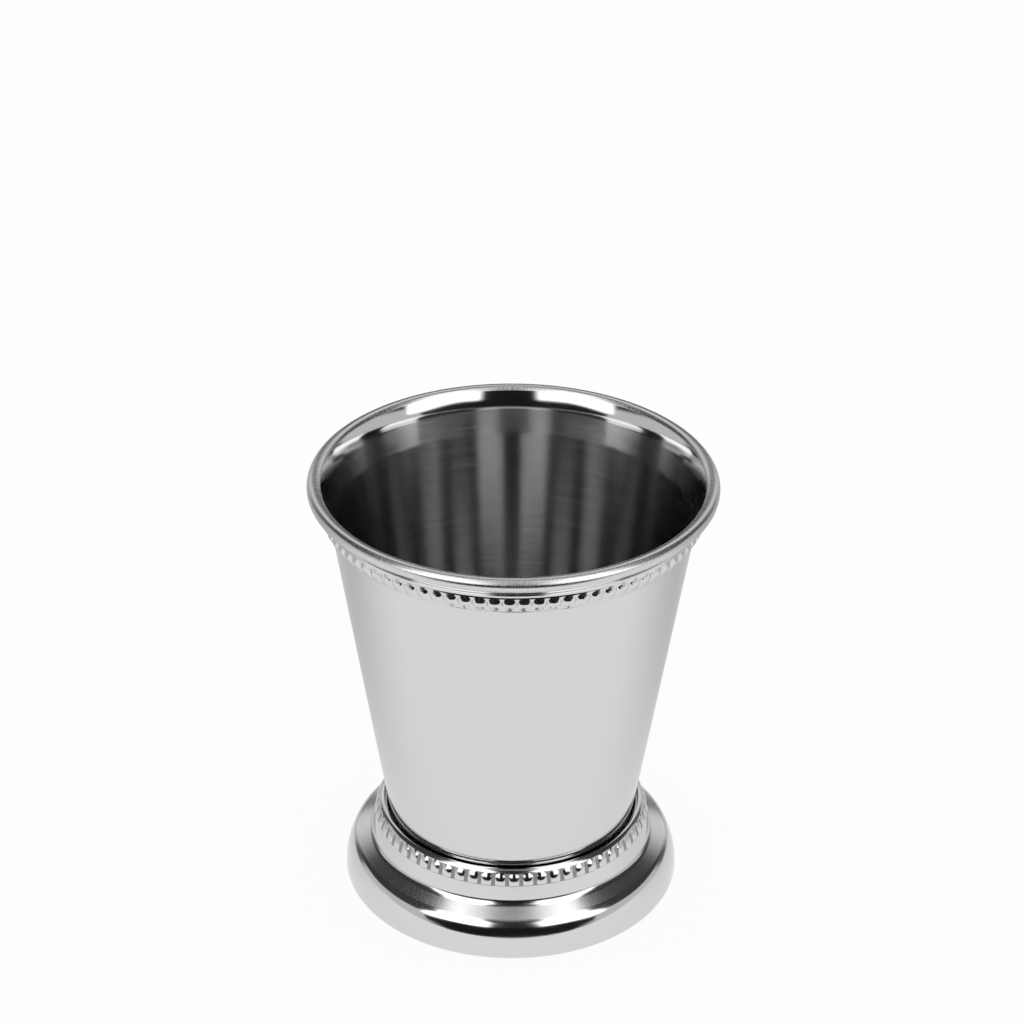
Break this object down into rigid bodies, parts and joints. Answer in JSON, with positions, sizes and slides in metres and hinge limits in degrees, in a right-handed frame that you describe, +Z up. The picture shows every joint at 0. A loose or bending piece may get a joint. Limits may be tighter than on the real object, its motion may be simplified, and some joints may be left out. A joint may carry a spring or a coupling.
{
  "type": "footed julep cup",
  "caption": "Footed julep cup of polished sheet steel: tapered body with a rolled, flared lip, a spun stepped foot, and a beaded strip under the lip and round the foot's neck.",
  "frame": {"origin": "centre of the foot's base, on the surface that the cup stands on", "axes": "+Z up along the cup's axis, -Y towards the viewer of the picture, +X to the viewer's right"},
  "size_m": [0.088, 0.088, 0.1],
  "materials": {
    "steel": "mirror polished outside and on the lip, fine turned lines inside the cup",
    "bead_steel": "mirror polished pressed strip",
    "solder": "dull silver solder"
  },
  "bodies": {
    "root": {"cup_body": "steel", "foot": "steel", "rim_bead_strip": "bead_steel", "foot_bead_strip": "bead_steel", "seat_solder": "solder", "rim_strip_solder": "solder", "foot_strip_solder": "solder"}
  },
  "joints": []
}
